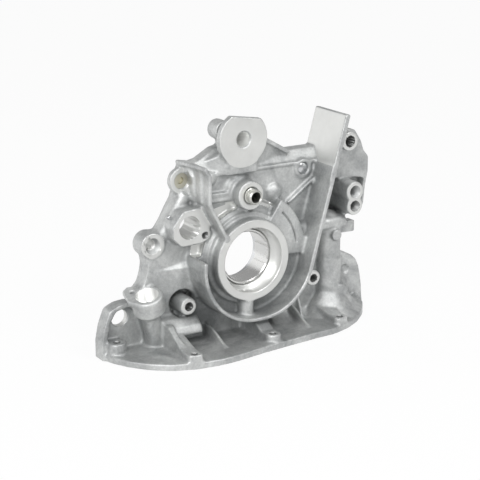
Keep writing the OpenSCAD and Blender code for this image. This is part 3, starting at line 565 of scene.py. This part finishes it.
ground_steel = grained_metal(
    "ground_steel", (0.55, 0.56, 0.57), (0.65, 0.66, 0.67), (0.2, 0.3), 2500, 0.01 * mm
)
zinc_plate = grained_metal(
    "zinc_plate", (0.55, 0.56, 0.54), (0.68, 0.68, 0.64), (0.25, 0.4), 1200, 0.02 * mm
)
dress("rotor_cover", ground_steel)
dress("cover_screws", zinc_plate)
dress("cover_dowels", ground_steel)


# The relief valve is a hardened plunger on a spring, closed from below by a plated screw plug
# on a copper washer. Only the plug's hexagon shows, from underneath.

spring_steel = grained_metal(
    "spring_steel", (0.16, 0.16, 0.17), (0.26, 0.26, 0.27), (0.3, 0.45), 1500, 0.02 * mm
)
copper = grained_metal("copper", (0.72, 0.42, 0.28), (0.82, 0.52, 0.36), (0.3, 0.45), 1500, 0.02 * mm)
dress("relief_plunger", ground_steel)
dress("relief_spring", spring_steel)
dress("relief_plug", zinc_plate)
dress("plug_washer", copper)


# Small pieces close or carry the drillings: a zinc plated socket plug and oil nipple, a domed
# core plug and a ball of steel, and a pale bronze plug in the port of the oil pressure switch.
# Two steel sleeves place the pump on the block.

plug_bronze = grained_metal(
    "plug_bronze", (0.55, 0.53, 0.43), (0.72, 0.7, 0.6), (0.4, 0.6), 900, 0.08 * mm
)
for node in ("passage_plug", "oil_nipple"):
    dress(node, zinc_plate)
for node in ("core_plug", "gallery_ball", "block_dowels"):
    dress(node, ground_steel)
dress("switch_port_plug", plug_bronze)


# Two moulded rings of black oil resistant rubber seal the outlet to the block and the pickup
# pipe to the pump. Each lies in its own groove.

seal_rubber = grained_metal(
    "seal_rubber", (0.012, 0.012, 0.013), (0.02, 0.02, 0.021), (0.45, 0.6), 1500, 0.03 * mm, metallic=0.0
)
dress("outlet_seal_ring", seal_rubber)
dress("pickup_seal_ring", seal_rubber)


# The pump stands on a white table under an even white sky. A soft box at the left, in front and
# above, gives the light its direction. A smaller one in front and a weak one behind fill in.

floor_half = 8
floor_gap = 0.5 * mm
floor_z = cad_low.z - floor_gap
table_colour = (0.8, 0.8, 0.8)
shadow_share = 0.06
sky_strength = 0.47


def seen_directly(tree, rays):
    """An output that is 1 for light paths of the named kinds and 0 for all others."""
    path = add_node(tree, "LightPath")
    seen = path.outputs[rays[0]]
    for ray in rays[1:]:
        seen = add_node(tree, "Math", {"operation": "MAXIMUM"}, {0: seen, 1: path.outputs[ray]}).outputs[0]
    return seen


table_mesh = bpy.data.meshes.new("table")
table_mesh.from_pydata(
    [(a * floor_half, b * floor_half, floor_z) for a, b in ((-1, -1), (1, -1), (1, 1), (-1, 1))],
    [],
    [(0, 1, 2, 3)],
)
table = new_object(table_mesh, "table")

# White to the camera and in reflections, with a share of the real shading for the shadow
table_white = bpy.data.materials.new("table_white")
table_white.use_nodes = True
tree = table_white.node_tree
tree.nodes.clear()
seen = seen_directly(tree, ("Is Camera Ray", "Is Glossy Ray", "Is Transmission Ray"))
white_share = add_node(tree, "Math", {"operation": "MULTIPLY", 1: 1 - shadow_share}, {0: seen})
plain = add_node(tree, "BsdfDiffuse", {"Color": (*table_colour, 1)})
white = add_node(tree, "Emission", {"Strength": 1.0})
mix = add_node(
    tree, "MixShader", links={0: white_share.outputs[0], 1: plain.outputs[0], 2: white.outputs[0]}
)
add_node(tree, "OutputMaterial", links={"Surface": mix.outputs[0]})
table_mesh.materials.append(table_white)

# White to the camera, and at its own strength in reflections and on the pieces
world = bpy.data.worlds.new("studio")
scene.world = world
world.use_nodes = True
tree = world.node_tree
seen = seen_directly(tree, ("Is Camera Ray", "Is Transmission Ray"))
strength = add_node(tree, "MapRange", {"To Min": sky_strength, "To Max": 1.0}, {"Value": seen})
sky = tree.nodes["Background"]
sky.inputs["Color"].default_value = (1, 1, 1, 1)
tree.links.new(strength.outputs["Result"], sky.inputs["Strength"])


def soft_box(name, place, width, power):
    """A square lamp that faces the crank axis at the block."""
    lamp = bpy.data.lights.new(name, "AREA")
    lamp.energy = power
    lamp.size = width
    holder = bpy.data.objects.new(name, lamp)
    scene.collection.objects.link(holder)
    holder.location = place
    holder.rotation_euler = (-Vector(place)).to_track_quat("-Z", "Y").to_euler()


soft_box("left", (-1.0, -0.8, 0.75), width=0.7, power=12)
soft_box("behind", (-0.8, 1.0, 0.35), width=0.9, power=2.2)
soft_box("front", (0.3, -0.9, 1.0), width=0.5, power=7)


# The camera stands to the left of the crank axis and a little above it, as for the photograph.
# Its lens is long, so that it can stand well back.

camera_azimuth = -31.56
camera_elevation = 16.50
camera_distance = 1.379
camera_aim = Vector((-0.65, -20, 14.69)) * mm
lens_length = 105
film_width = 36

turn, tilt = np.radians(camera_azimuth), np.radians(camera_elevation)
towards_camera = Vector((np.sin(turn) * np.cos(tilt), -np.cos(turn) * np.cos(tilt), np.sin(tilt)))
sideways = Vector((np.cos(turn), np.sin(turn), 0))
upwards = towards_camera.cross(sideways)
camera = bpy.data.objects.new("camera", bpy.data.cameras.new("camera"))
scene.collection.objects.link(camera)
placed = Matrix((sideways, upwards, towards_camera)).transposed().to_4x4()
placed.translation = camera_aim + towards_camera * camera_distance
camera.matrix_world = placed
camera.data.lens = lens_length
camera.data.sensor_width = film_width
camera.data.clip_start = 0.01
camera.data.clip_end = 10
scene.camera = camera
scene.view_settings.view_transform = "Standard"
